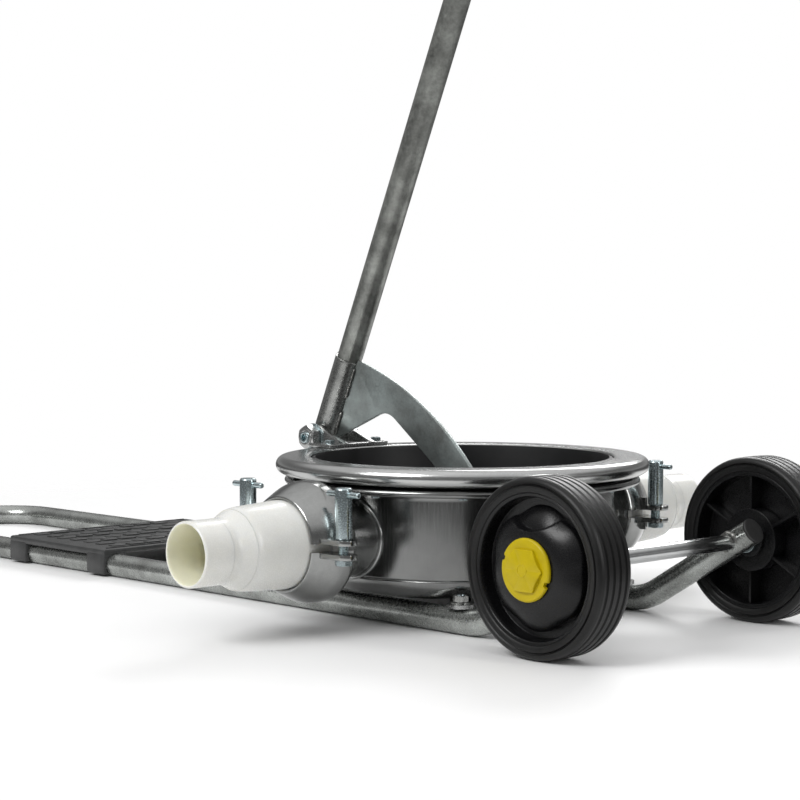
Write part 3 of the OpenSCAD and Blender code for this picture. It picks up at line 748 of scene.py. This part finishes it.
FLANGE_R = 46
FLANGE_T = 4
TAIL_FLANGE_T = 5
NECK_END = 202
TAIL_AT = 210
MOUTH = 350
CLAMP_R = 57.5
CLAMP_BACK = 194
CLAMP_FRONT = 240
STUD_X = 68
STUD_Y = 222
STUD_R = 5
SPLIT = 4


def neck(name, side):
    """The welded neck, with its flange and a swaged collar that hugs the drum's wall."""
    outline = rounded([
        (NECK_R - SHEET, 132), (NECK_R, 132), (NECK_R, NECK_END - FLANGE_T, 2),
        (FLANGE_R, NECK_END - FLANGE_T), (FLANGE_R, NECK_END), (NECK_R - SHEET, NECK_END)], 0.5, 3)
    pipe = lathe(outline, 128)
    inside = moved(round_bar(DRUM_R - SHEET, -200, 200, 0, steps=256), turned("X"))
    pipe = carved(pipe, inside)
    points = []
    reach = NECK_R + 1.2
    count = 160
    for k in range(count + 1):
        a = TAU * k / count
        x, y = reach * math.cos(a), reach * math.sin(a)
        points.append((x, y, math.sqrt((DRUM_R + 0.7) ** 2 - x * x)))
    collar = sweep(points, 1.9, steps=12)
    piece(f"{name}_neck_pipe", joined(pipe, collar), POLISHED, f"{name}_neck", place=at_port(side))


def hose_tail(name, side):
    """Moulded tail: flange, tapered body, shoulder and a thin-lipped spigot, with painted light
    inside: a lighter, yellower copy of the nylon.
    """
    spigot = 30.25
    wall = 3
    flange_end = TAIL_AT + TAIL_FLANGE_T
    outline = rounded([
        (38, TAIL_AT, 0.3), (FLANGE_R, TAIL_AT), (FLANGE_R, flange_end), (41, flange_end),
        (41.5, 242, 3), (39.1, 286, 6), (38.2, 294, 6), (spigot + 0.6, 309, 6), (spigot, 312, 4),
        (spigot, 331, 0.5), (spigot, MOUTH - 1.2, 1), (spigot - 1.2, MOUTH, 1),
        (spigot - wall + 0.6, MOUTH, 1), (spigot - wall, MOUTH - 2, 2), (spigot - wall, 311, 5),
        (35.2, 293, 6), (38.4, 242, 6)], 0.5, 5)
    solid = lathe(outline, 160)
    turns = [TAU * k / 120 for k in range(121)]
    rings = []
    for z, size in ((296.5, 36.9), (318, spigot - 0.35)):
        ring = [(size * math.cos(a), size * math.sin(a), z) for a in turns]
        rings.append(sweep(ring, 0.55, steps=8))
    tail = piece(f"{name}_tail_moulded", joined(solid, *rings), NYLON, f"{name}_hose_tail",
                 place=at_port(side))
    # Faces that look in towards the port's axis take the lighter, yellower nylon, painted light
    # inside the tail.
    tail.data.materials.append(NYLON_PAINTED_LIGHT_INSIDE)
    for face in tail.data.polygons:
        out = Vector((face.center.x - DRUM_X * MM, 0, face.center.z - PORT_Z * MM))
        if face.normal.dot(out.normalized()) < -0.2:
            face.material_index = 1


def halved(bm, level, keep):
    """The part of bm above (keep 1) or below (keep -1) local Y = level, closed again."""
    facing_out(bm)
    geometry = bm.verts[:] + bm.edges[:] + bm.faces[:]
    bmesh.ops.bisect_plane(bm, geom=geometry, plane_co=(0, level, 0), plane_no=(0, keep, 0),
                           clear_inner=True)
    edges = [e for e in bm.edges if e.is_boundary]
    bmesh.ops.holes_fill(bm, edges=edges, sides=0)
    return bm


def clamp(name, side):
    """Two bell-shaped cast halves with a ribbed ear at each side."""
    neck_space, flange_space = NECK_R + 0.4, FLANGE_R + 0.3
    tail_side, neck_side = TAIL_AT + TAIL_FLANGE_T, NECK_END - FLANGE_T
    outline = rounded([
        (neck_space, CLAMP_BACK), (CLAMP_R - 2, CLAMP_BACK, 3), (CLAMP_R, CLAMP_BACK + 5, 3),
        (CLAMP_R, CLAMP_FRONT - 27, 6), (CLAMP_R - 3, CLAMP_FRONT - 19, 6),
        (45.5, CLAMP_FRONT - 1, 2), (43.8, CLAMP_FRONT, 1), (42, CLAMP_FRONT - 1, 0.6),
        (42, tail_side, 0.3), (flange_space, tail_side, 0.2), (flange_space, neck_side, 0.2),
        (neck_space, neck_side, 0.3)], 0.8, 5)
    # Per half: the ears' underside and the ribs' top above it, measured from the port's axis.
    ear_t, rib_t = 4.8, 12
    halves = (("upper", 1, SPLIT + 0.2, 13), ("lower", -1, -SPLIT - 5, 4))
    for half, keep, low, rib_top in halves:
        bell = halved(lathe(outline, 144), keep * SPLIT, keep)
        ears = []
        for x in (-1, 1):
            ear = rounded([
                (x * 51, STUD_Y - 12, 2), (x * 76, STUD_Y - 10, 4), (x * 82, STUD_Y - 5, 6),
                (x * 82, STUD_Y + 5, 6), (x * 76, STUD_Y + 10, 4), (x * 48, STUD_Y + 12, 2)], 2, 4)
            web = rounded([(x * 47, STUD_Y - 9), (x * 62, STUD_Y - 9), (x * 62, STUD_Y - 6),
                           (x * 47, STUD_Y - 4)], 1, 3)
            ears.append(moved(prism(ear, ear_t, 0.7), turned("X", 0, low + ear_t, 0)))
            ears.append(moved(prism(web, rib_t, 0.6), turned("X", 0, low + rib_top, 0)))
        solid = carved(bell, *ears, operation="UNION")
        holes = [moved(round_bar(STUD_R + 0.2, -30, 30, 0), turned("X", x, 0, STUD_Y))
                 for x in (-STUD_X, STUD_X)]
        piece(f"{name}_clamp_{half}_cast", carved(solid, *holes), CASTING,
              f"{name}_clamp_{half}", place=at_port(side))


def fastening(name, side):
    """The T nuts on a clamp's studs: a barrel with a cross bar through its head."""
    foot = SPLIT + 5.3
    top = foot + 47
    bore, bore_end = STUD_R + 0.08, foot + 23
    bar_half, bar_r = 21, 2.75
    for end, x in (("front", 1), ("rear", -1)):
        barrel = lathe(rounded([
            (bore, foot), (7.4, foot), (8, foot + 1), (8, top - 1.6, 1), (6.8, top), (0, top, 0),
            (0, bore_end, 0), (bore, bore_end, 0.2)], 0.4, 3), 64)
        piece(f"{name}_t_nut_{end}_barrel", barrel, ZINC, f"{name}_t_nut_{end}",
              place=at_stud(side, x))
        bar = lathe(rounded([
            (0, -bar_half, 0), (2.4, -bar_half, 1.2), (bar_r, -bar_half + 1.4),
            (bar_r, bar_half - 1.4), (2.4, bar_half, 1.2), (0, bar_half, 0)], 0.6, 3), 32)
        piece(f"{name}_t_bar_{end}_pin", bar, ZINC, f"{name}_t_bar_{end}",
              place=at_stud(side, x) @ turned("Y", 0, 0, top - 6))


def studs():
    """Four studs with hex heads under the clamps' lower ears, threaded along their shanks."""
    head_low, head_top = -15, -9.2
    thread_low, pitch, turns = -9, 1.5, 26
    root = 4.45
    outline = [(0, head_low), (STUD_R, head_low)]
    for k in range(turns):
        z = thread_low + k * pitch
        outline += [(STUD_R, z + 0.3), (root, z + 0.75), (STUD_R, z + 1.2)]
    outline += [(STUD_R, 30.3), (root, 30.75), (STUD_R, 30), (4.2, 31), (0, 31)]
    made = []
    for side in SIDES.values():
        for x in (-1, 1):
            one = joined(lathe(outline, 40), six_sided(7.3, head_low, head_top))
            made.append(shifted(one, x * STUD_X, side * STUD_Y, PORT_Z))
    piece("clamp_studs_threaded", joined(*made), ZINC, "clamp_studs", place=at_drum())


# ---- Lever ----

SOCKET_R = 15.2
SOCKET_BORE = 13.43
SOCKET_TOP = 92
SLEEVE_R = 10.5
POLE_R = 13.35
POLE_BORE = 11.35
POLE_END = 1140
ARC_C = (-244, -87)
ARC_R = 345
ARM_T = 5
ARM_LOW = 102
FOOT_X = (-22, 44)
BOLT_R = 6
BOLT_BORE = 6.05
HINGE_X, HINGE_Z = PIVOT.x - DRUM_X, PIVOT.z


def lever():
    """The socket, the sickle-shaped arm, their weld, and the weld of the arm's foot."""
    tube = lathe(rounded([
        (0, -3, 0), (SOCKET_R, -3), (SOCKET_R, 88, 0.5), (SOCKET_R, SOCKET_TOP, 0.6),
        (SOCKET_BORE, SOCKET_TOP, 0.4), (SOCKET_BORE, 14, 0.4), (0, 14, 0)], 0.8, 3), 72)
    tube = carved(tube, moved(round_bar(SLEEVE_R, -40, 40, 0, steps=64), turned("X", POLE_BACK)))
    nub = slab((-SOCKET_R - 2.2, -SOCKET_R + 1), (-3, 3), (84, SOCKET_TOP), 0.9)
    piece("socket_tube", joined(tube, nub), SOCKET, "lever_socket", place=at_pole())

    # The outline's first and last corners stay sharp, because the arc goes on from them.
    low_end = math.degrees(math.asin((ARM_LOW - ARC_C[1]) / ARC_R))
    outline = rounded([
        (-192, 160.2, 0), (-107.9, 195.3, 15), (-35.5, 140.4, 10), (-24.5, 123, 8),
        (FOOT_X[0], ARM_LOW, 0)], 1, 10)
    plate = prism(outline + arc(ARC_C, ARC_R, low_end, 78, 60), ARM_T, 0.9, -ARM_T / 2)
    socket_space = moved(round_bar(SOCKET_R - 0.1, -60, 300, 0, steps=64),
                         at_plane().inverted() @ at_pole())
    sleeve_space = shifted(round_bar(SLEEVE_R, -40, 40, 0, steps=64), HINGE_X, HINGE_Z)
    piece("lever_arm_plate", carved(plate, socket_space, sleeve_space), ARM, "lever_arm",
          place=at_plane())

    seams = []
    for y in (-3.6, 3.6):
        for z0, z1 in ((8, 36), (52, 86)):
            count = int((z1 - z0) / 1.2)
            path = [(SOCKET_R - 0.1, y, z0 + (z1 - z0) * i / count) for i in range(count + 1)]
            seams.append(bead(path, 1.9))
    piece("socket_weld", joined(*seams), WELD, body="lever", slot="pole_steel", place=at_pole())
    foot_welds = []
    x0, count = FOOT_X[0] + 4, 40
    reach = FOOT_X[1] - FOOT_X[0] - 8
    for y in (-3.4, 3.4):
        path = [(x0 + reach * i / count, y, ARM_LOW + 0.7) for i in range(count + 1)]
        foot_welds.append(bead(path, 1.8))
    piece("arm_foot_weld", joined(*foot_welds), WELD, body="lever", slot="arm_steel",
          place=at_drum())


def pole():
    """The pole's tube and the plug in its top end."""
    tube = round_bar(POLE_R, 14.3, POLE_END, 0.5, POLE_BORE, 72)
    piece("pole_tube", tube, POLE, "pole", place=at_pole())
    cap = lathe(rounded([
        (0, POLE_END - 12, 0), (11.3, POLE_END - 12), (11.3, POLE_END), (POLE_R, POLE_END),
        (POLE_R, POLE_END + 2), (12, POLE_END + 3), (0, POLE_END + 3, 0)], 0.6, 3), 64)
    piece("pole_end_cap", cap, PLUG, "pole_cap", place=at_pole())


def hinge():
    """Ears on a base plate over the rim, a bolt with a hollow end, its nut, washers and screws."""
    ear_in, ear_t = 16, 6
    ear_low, plate_end = 139.5, -153
    plate_t = 4
    eye = arc((HINGE_X, HINGE_Z), 13, 55, 180, 20)
    outline = eye + [
        (HINGE_X - 12, ear_low), (HINGE_X + 11.5, ear_low), (HINGE_X + 11.5, RIM_TOP),
        (plate_end, RIM_TOP), (plate_end, 159.4)]
    ears = [moved(prism(outline, ear_t, 0.7, -y - ear_t), outward(0, 0, -1))
            for y in (-ear_in - ear_t, ear_in)]
    plate = slab((-186, plate_end), (-42, 42), (RIM_TOP, RIM_TOP + plate_t), 0.9)
    bracket = carved(*ears, plate, operation="UNION")
    bore = moved(round_bar(BOLT_BORE, -60, 60, 0, steps=48), outward(HINGE_X, HINGE_Z, -1))
    piece("hinge_bracket_plate", carved(bracket, bore), SATIN, "hinge_bracket", place=at_drum())

    at_hinge = outward(PIVOT.x, PIVOT.z, -1)
    near = ear_in + ear_t + 1.5
    flats = 11.5
    bolt = joined(round_bar(BOLT_R, -near, near + 14, 0.9, 3.4, 48, bore_depth=7),
                  six_sided(flats, -near - 8, -near - 0.05))
    piece("hinge_bolt_turned", bolt, ZINC, "hinge_bolt", place=at_hinge)
    nut = joined(six_sided(flats, near + 0.05, near + 11, BOLT_BORE, recess=0.9),
                 round_bar(9.2, near + 10.4, near + 11.9, 0.5, BOLT_BORE))
    piece("hinge_lock_nut", nut, SATIN, "hinge_nut", place=at_hinge)
    washers = [round_bar(14.3, z, z + 1.4, 0.3, BOLT_BORE) for z in (-near + 0.05, near - 1.45)]
    piece("hinge_washers_flat", joined(*washers), ZINC, "hinge_washers", place=at_hinge)
    screws = [shifted(joined(six_sided(4.8, plate_t + 0.05, 8), round_bar(3, 0, 5, 0.2)),
                      -163, y, RIM_TOP) for y in (-33, 33)]
    cross = joined(round_bar(2.5, -22, 22, 0.2, steps=24), six_sided(4.0, 22, 25),
                   six_sided(4.0, -25, -22))
    screws.append(moved(cross, outward(-202, 144.5, -1)))
    piece("bracket_screws_hex", joined(*screws), ZINC, "bracket_screws", place=at_drum())


# ---- Wheels ----

WHEEL_R = 80
WHEEL_IN = 132
WHEEL_OUT = 174
TYRE_IN = 66


def tyre(name, side):
    """A solid tyre: four grooves in the tread, rounded shoulders and a stepped side wall."""
    shoulder = 5
    groove_step, groove_depth, groove_half = 8, 2.0, 1.5

    def tread_radius(z):
        across = (z - WHEEL_IN) / (WHEEL_OUT - WHEEL_IN)
        crown = 0.5 * (2 * across - 1) ** 2
        near = min(abs(z - WHEEL_IN - 1 - k * groove_step) for k in range(1, 5))
        groove = groove_depth * max(0, 1 - (near / groove_half) ** 2) ** 0.5
        return WHEEL_R - crown - groove

    tread_in, tread_out = WHEEL_IN + shoulder, WHEEL_OUT - shoulder
    count = 84
    zs = [tread_in + (tread_out - tread_in) * k / count for k in range(count + 1)]
    shoulder_r = WHEEL_R - 5.6
    shoulder_low = arc((shoulder_r, tread_in), shoulder, 270, 350, 8)
    shoulder_high = arc((shoulder_r, tread_out), shoulder, 10, 90, 8)
    wall = [(TYRE_IN, 1.4), (TYRE_IN + 1, 0.3), (72, 0.3), (72.8, 1.6), (73.6, 1.2)]
    low = [(r, WHEEL_IN + z) for r, z in wall]
    high = [(r, WHEEL_OUT - z) for r, z in reversed(wall)]
    outline = low + shoulder_low + [(tread_radius(z), z) for z in zs] + shoulder_high + high
    piece(f"{name}_tyre_grooved", lathe(outline, 192), TYRE, f"{name}_tyre",
          place=at_axle(side), angle=50)


def lobed(r, z, angle):
    """Six soft lobes round the cover, and a crescent scoop at its top."""
    share = min(1, max(0, (r - 30) / 24))
    lobe = 0.5 + 0.5 * math.cos(6 * (angle - math.pi / 2))
    r = r * (1 - 0.055 * share * (1 - lobe) ** 1.5)
    x, y = r * math.cos(angle), r * math.sin(angle)
    if z <= WHEEL_OUT - 10:
        return r, z
    scoop_r, scoop_at, scoop_depth = 42, 75, 7
    inside = scoop_r - math.hypot(x, y - scoop_at)
    depth = scoop_depth * min(1, max(0, inside / 1.6))
    return r, z - depth * min(1, (58 - abs(x)) / 40)


def hub(name, side):
    """Rim band, web, boss with a collar and six inner ribs, and a lobed dome over the outside."""
    dish = WHEEL_IN + 22
    web_end = dish + 4
    bore = AXLE_R + 0.08
    band = lathe(rounded([(62, WHEEL_IN + 2), (TYRE_IN, WHEEL_IN + 1.2), (TYRE_IN, WHEEL_OUT - 1.2),
                          (63.2, WHEEL_OUT - 2), (62, WHEEL_OUT - 5), (61.4, web_end),
                          (30, web_end), (30, dish), (61.4, dish)], 0.8, 3), 144)
    boss = lathe(rounded([(bore, WHEEL_IN + 1), (16, WHEEL_IN + 1), (16, dish + 2),
                          (31, dish + 2), (31, web_end), (16, web_end), (16, 160),
                          (bore, 160)], 0.8, 3), 72)
    collar = lathe(rounded([(15, WHEEL_IN + 4), (30, WHEEL_IN + 4), (30, dish + 1),
                            (15, dish + 1)], 0.6, 3), 96)
    ribs = []
    for k in range(6):
        rib = slab((15, 62.5), (-1.25, 1.25), (WHEEL_IN + 5, dish + 1), 0.5)
        ribs.append(moved(rib, Matrix.Rotation(TAU * k / 6 + math.pi / 2, 4, "Z")))
    skirt_r, skirt_top, count = 55, WHEEL_OUT - 9, 36
    skirt = [(skirt_r, dish + 3), (skirt_r, skirt_top)]
    dome = [(skirt_r - 27 * t, skirt_top + 13 * math.sin(t * math.pi / 2) ** 0.8)
            for t in (k / count for k in range(1, count + 1))]
    under = [(24, WHEEL_OUT + 4), (24, WHEEL_OUT - 1), (46, WHEEL_OUT - 9.5),
             (51.5, WHEEL_OUT - 12), (52, dish + 3)]
    cover = lathe(skirt + dome + under, 288, lobed)
    solid = joined(band, boss, collar, *ribs, cover)
    piece(f"{name}_hub_moulded", solid, HUB, f"{name}_wheel_hub", place=at_axle(side),
          angle=40)


def hub_cap(name, side):
    """A yellow cap: two notches in its edge, a raised hexagon and a small ring in the middle."""
    seat = WHEEL_OUT + 4
    notches = [math.radians(a) for a in (160, 335)]
    notch_half = math.radians(5)

    def notched(r, z, angle):
        off = min(abs((angle - a + math.pi) % TAU - math.pi) for a in notches)
        return (min(r, 24.6), z) if off < notch_half and r > 24 else (r, z)

    plate = lathe(rounded([(0, seat, 0), (27.6, seat), (28, seat + 2.4), (26.6, seat + 4),
                           (0, seat + 4, 0)], 0.8, 4), 180, notched)
    hexagon = moved(six_sided(18.2, seat + 3, seat + 7.8),
                    Matrix.Rotation(math.radians(30), 4, "Z"))
    eye = lathe(rounded([(4.2, seat + 6), (6, seat + 6), (5.8, seat + 8),
                         (4.4, seat + 8)], 0.5, 3), 48)
    spigot = lathe(rounded([(21.5, WHEEL_OUT - 3), (23.8, WHEEL_OUT - 3), (23.8, seat + 1),
                            (21.5, seat + 1)], 0.4, 2), 72)
    piece(f"{name}_hub_cap_yellow", joined(plate, hexagon, eye, spigot), YELLOW,
          f"{name}_hub_cap", place=at_axle(side))


# ---- Stage ----

def floor():
    """A pale floor that fades out before its edge."""
    bm = bmesh.new()
    bmesh.ops.create_circle(bm, cap_ends=True, radius=6, segments=96)
    obj = as_object("floor", bm)
    material = bpy.data.materials.new("floor_pale")
    material.use_nodes = True
    tree = material.node_tree
    shader = tree.nodes["Principled BSDF"]
    shader.inputs["Base Color"].default_value = (0.86, 0.86, 0.86, 1)
    shader.inputs["Roughness"].default_value = 0.6
    clear = tree.nodes.new("ShaderNodeBsdfTransparent")
    mix = tree.nodes.new("ShaderNodeMixShader")
    place = tree.nodes.new("ShaderNodeTexCoord")
    length = tree.nodes.new("ShaderNodeVectorMath")
    length.operation = "LENGTH"
    fade = tree.nodes.new("ShaderNodeMapRange")
    fade.interpolation_type = "SMOOTHSTEP"
    fade.inputs["From Min"].default_value = 0.65
    fade.inputs["From Max"].default_value = 1.25
    tree.links.new(place.outputs["Object"], length.inputs[0])
    tree.links.new(length.outputs["Value"], fade.inputs["Value"])
    tree.links.new(fade.outputs["Result"], mix.inputs["Fac"])
    tree.links.new(shader.outputs["BSDF"], mix.inputs[1])
    tree.links.new(clear.outputs["BSDF"], mix.inputs[2])
    tree.links.new(mix.outputs["Shader"], tree.nodes["Material Output"].inputs["Surface"])
    obj.data.materials.append(material)


def softbox(name, place, aim, width, height, power):
    """A rectangular area light at place that looks at aim."""
    data = bpy.data.lights.new(name, "AREA")
    data.shape = "RECTANGLE"
    data.size = width
    data.size_y = height
    data.energy = power
    obj = bpy.data.objects.new(name, data)
    bpy.context.scene.collection.objects.link(obj)
    obj.location = place
    obj.rotation_mode = "QUATERNION"
    obj.rotation_quaternion = (Vector(aim) - Vector(place)).to_track_quat("-Z", "Y")


def sky():
    """White to the camera; to the metal, a dim room with a bright ceiling."""
    world = bpy.data.worlds.new("studio")
    bpy.context.scene.world = world
    world.use_nodes = True
    tree = world.node_tree
    tree.nodes.clear()
    out = tree.nodes.new("ShaderNodeOutputWorld")
    white = tree.nodes.new("ShaderNodeBackground")
    white.inputs["Color"].default_value = (1, 1, 1, 1)
    room = tree.nodes.new("ShaderNodeBackground")
    mix = tree.nodes.new("ShaderNodeMixShader")
    path = tree.nodes.new("ShaderNodeLightPath")
    place = tree.nodes.new("ShaderNodeTexCoord")
    split = tree.nodes.new("ShaderNodeSeparateXYZ")
    ramp = tree.nodes.new("ShaderNodeValToRGB")
    ramp.color_ramp.interpolation = "EASE"
    # Height in the world, from straight down at 0 to straight up at 1, and its brightness.
    stops = ((0.0, 0.50), (0.40, 0.22), (0.46, 0.09), (0.50, 0.09), (0.53, 0.34), (0.60, 0.20),
             (0.68, 0.18), (0.85, 0.75), (1.0, 1.0))
    for position, _ in stops[1:-1]:
        ramp.color_ramp.elements.new(position)
    for element, (_, level) in zip(ramp.color_ramp.elements, stops):
        element.color = (level, level, level, 1)
    shift = tree.nodes.new("ShaderNodeMapRange")
    shift.inputs["From Min"].default_value = -1
    tree.links.new(place.outputs["Generated"], split.inputs["Vector"])
    tree.links.new(split.outputs["Z"], shift.inputs["Value"])
    tree.links.new(shift.outputs["Result"], ramp.inputs["Fac"])
    tree.links.new(ramp.outputs["Color"], room.inputs["Color"])
    tree.links.new(path.outputs["Is Camera Ray"], mix.inputs["Fac"])
    tree.links.new(room.outputs["Background"], mix.inputs[1])
    tree.links.new(white.outputs["Background"], mix.inputs[2])
    tree.links.new(mix.outputs["Shader"], out.inputs["Surface"])


def stage():
    """The floor, the sky and three softboxes."""
    floor()
    sky()
    target = (DRUM_X * MM, 0, 0.1)
    softbox("key_softbox", (0.2, -2.6, 2.2), target, 1.6, 1.2, 60)
    softbox("right_softbox", (3.0, 0.4, 1.2), target, 0.35, 1.8, 16)
    softbox("back_softbox", (-1.0, 2.6, 2.0), target, 1.8, 1.2, 50)
    bpy.context.scene.view_settings.view_transform = "Standard"


dress_cad_nodes()
trolley()
foot_pad()
drum()
rim()
diaphragm()
lugs()
for port, port_side in SIDES.items():
    neck(port, port_side)
    hose_tail(port, port_side)
    clamp(port, port_side)
    fastening(port, port_side)
studs()
lever()
pole()
hinge()
for wheel, wheel_side in WHEELS.items():
    tyre(wheel, wheel_side)
    hub(wheel, wheel_side)
    hub_cap(wheel, wheel_side)
stage()
